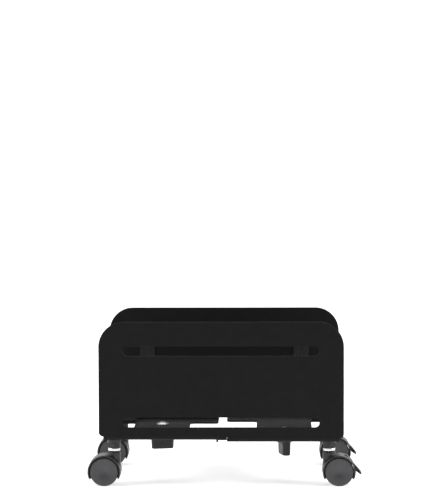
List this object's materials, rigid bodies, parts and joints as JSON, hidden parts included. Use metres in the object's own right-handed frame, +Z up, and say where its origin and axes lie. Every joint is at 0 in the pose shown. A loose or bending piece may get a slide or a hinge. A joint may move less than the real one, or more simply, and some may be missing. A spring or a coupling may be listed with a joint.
{
  "type": "cpu holder",
  "caption": "Rolling cpu holder: two slotted steel side plates on a sliding two-part base, with wing-knob clamps and hooded twin-wheel casters, some with brakes.",
  "frame": {"origin": "on the floor, below the middle of the holder's outline at its rest width", "axes": "+X along the side plates towards the two braked casters, +Y across the width from the near plate to the far plate, +Z up"},
  "size_m": [0.3078, 0.192, 0.1856],
  "materials": {
    "powder_coat": "fine satin powder coat",
    "painted_nut": "painted over with the bracket",
    "rubber": "matt",
    "zinc": "bright zinc plate",
    "spring_steel": "oiled",
    "brass": "turned brass",
    "knob_plastic": "moulded, satin",
    "hood_nylon": "moulded nylon, satin",
    "wheel_nylon": "moulded nylon, satin",
    "lever_nylon": "moulded nylon, satin"
  },
  "bodies": {
    "near_frame": {"near_bracket": "powder_coat", "near_weld_nuts": "painted_nut", "near_nut_spacers": "painted_nut", "near_corner_pads": "rubber", "near_side_strips": "rubber", "left_clamp_bolt": "zinc", "near_left_stem": "zinc", "near_right_stem": "zinc", "near_left_grip_ring": "spring_steel", "near_right_grip_ring": "spring_steel"},
    "far_frame": {"far_bracket": "powder_coat", "far_weld_nuts": "painted_nut", "far_nut_spacers": "painted_nut", "far_corner_pads": "rubber", "far_side_strips": "rubber", "right_clamp_bolt": "zinc", "far_left_stem": "zinc", "far_right_stem": "zinc", "far_left_grip_ring": "spring_steel", "far_right_grip_ring": "spring_steel"},
    "near_left_caster": {"near_left_hood": "hood_nylon", "near_left_axle": "zinc"},
    "near_left_front_wheel_body": {"near_left_front_wheel": "wheel_nylon"},
    "near_left_back_wheel_body": {"near_left_back_wheel": "wheel_nylon"},
    "near_right_caster": {"near_right_hood": "hood_nylon", "near_right_axle": "zinc", "near_brake_pin": "zinc"},
    "near_right_front_wheel_body": {"near_right_front_wheel": "wheel_nylon"},
    "near_right_back_wheel_body": {"near_right_back_wheel": "wheel_nylon"},
    "near_brake": {"near_brake_lever": "lever_nylon"},
    "far_left_caster": {"far_left_hood": "hood_nylon", "far_left_axle": "zinc"},
    "far_left_front_wheel_body": {"far_left_front_wheel": "wheel_nylon"},
    "far_left_back_wheel_body": {"far_left_back_wheel": "wheel_nylon"},
    "far_right_caster": {"far_right_hood": "hood_nylon", "far_right_axle": "zinc", "far_brake_pin": "zinc"},
    "far_right_front_wheel_body": {"far_right_front_wheel": "wheel_nylon"},
    "far_right_back_wheel_body": {"far_right_back_wheel": "wheel_nylon"},
    "far_brake": {"far_brake_lever": "lever_nylon"},
    "left_clamp_washer_body": {"left_clamp_washer": "zinc"},
    "left_clamp_knob": {"left_knob": "knob_plastic", "left_knob_insert": "brass"},
    "right_clamp_washer_body": {"right_clamp_washer": "zinc"},
    "right_clamp_knob": {"right_knob": "knob_plastic", "right_knob_insert": "brass"}
  },
  "joints": [
    {"name": "width_slide", "type": "slide", "parent": "near_frame", "child": "far_frame", "axis": [0, 1, 0], "range_m": [-0.035, 0.06]},
    {"name": "near_left_swivel", "type": "hinge", "parent": "near_frame", "child": "near_left_caster", "pos_m": [-0.12436, -0.076, 0.03], "axis": [0, 0, 1], "continuous": true},
    {"name": "near_left_front_spin", "type": "hinge", "parent": "near_left_caster", "child": "near_left_front_wheel_body", "pos_m": [-0.13536, -0.076, 0.016], "axis": [0, 1, 0], "continuous": true},
    {"name": "near_left_back_spin", "type": "hinge", "parent": "near_left_caster", "child": "near_left_back_wheel_body", "pos_m": [-0.13536, -0.076, 0.016], "axis": [0, 1, 0], "continuous": true},
    {"name": "near_right_swivel", "type": "hinge", "parent": "near_frame", "child": "near_right_caster", "pos_m": [0.11764, -0.076, 0.03], "axis": [0, 0, 1], "continuous": true},
    {"name": "near_right_front_spin", "type": "hinge", "parent": "near_right_caster", "child": "near_right_front_wheel_body", "pos_m": [0.12864, -0.076, 0.016], "axis": [0, 1, 0], "continuous": true},
    {"name": "near_right_back_spin", "type": "hinge", "parent": "near_right_caster", "child": "near_right_back_wheel_body", "pos_m": [0.12864, -0.076, 0.016], "axis": [0, 1, 0], "continuous": true},
    {"name": "near_brake_lift", "type": "hinge", "parent": "near_right_caster", "child": "near_brake", "pos_m": [0.13563, -0.076, 0.02972], "axis": [0, -1, 0], "range_deg": [0, 32]},
    {"name": "far_left_swivel", "type": "hinge", "parent": "far_frame", "child": "far_left_caster", "pos_m": [-0.12436, 0.076, 0.03], "axis": [0, 0, 1], "continuous": true},
    {"name": "far_left_front_spin", "type": "hinge", "parent": "far_left_caster", "child": "far_left_front_wheel_body", "pos_m": [-0.13536, 0.076, 0.016], "axis": [0, 1, 0], "continuous": true},
    {"name": "far_left_back_spin", "type": "hinge", "parent": "far_left_caster", "child": "far_left_back_wheel_body", "pos_m": [-0.13536, 0.076, 0.016], "axis": [0, 1, 0], "continuous": true},
    {"name": "far_right_swivel", "type": "hinge", "parent": "far_frame", "child": "far_right_caster", "pos_m": [0.11764, 0.076, 0.03], "axis": [0, 0, 1], "continuous": true},
    {"name": "far_right_front_spin", "type": "hinge", "parent": "far_right_caster", "child": "far_right_front_wheel_body", "pos_m": [0.12864, 0.076, 0.016], "axis": [0, 1, 0], "continuous": true},
    {"name": "far_right_back_spin", "type": "hinge", "parent": "far_right_caster", "child": "far_right_back_wheel_body", "pos_m": [0.12864, 0.076, 0.016], "axis": [0, 1, 0], "continuous": true},
    {"name": "far_brake_lift", "type": "hinge", "parent": "far_right_caster", "child": "far_brake", "pos_m": [0.13563, 0.076, 0.02972], "axis": [0, -1, 0], "range_deg": [0, 32]},
    {"name": "left_clamp_drop", "type": "slide", "parent": "near_frame", "child": "left_clamp_washer_body", "axis": [0, 0, -1], "range_m": [0, 0.003]},
    {"name": "left_knob_turn", "type": "hinge", "parent": "left_clamp_washer_body", "child": "left_clamp_knob", "pos_m": [-0.07436, 0.024, 0.045], "axis": [0, 0, 1], "range_deg": [0, 1080]},
    {"name": "right_clamp_drop", "type": "slide", "parent": "far_frame", "child": "right_clamp_washer_body", "axis": [0, 0, -1], "range_m": [0, 0.003]},
    {"name": "right_knob_turn", "type": "hinge", "parent": "right_clamp_washer_body", "child": "right_clamp_knob", "pos_m": [0.06764, -0.024, 0.045], "axis": [0, 0, 1], "range_deg": [0, 1080]}
  ],
  "couplings": [
    {"joint": "left_knob_turn", "follows": "left_clamp_drop", "rad_per_m": 6283.2},
    {"joint": "right_knob_turn", "follows": "right_clamp_drop", "rad_per_m": 6283.2}
  ]
}
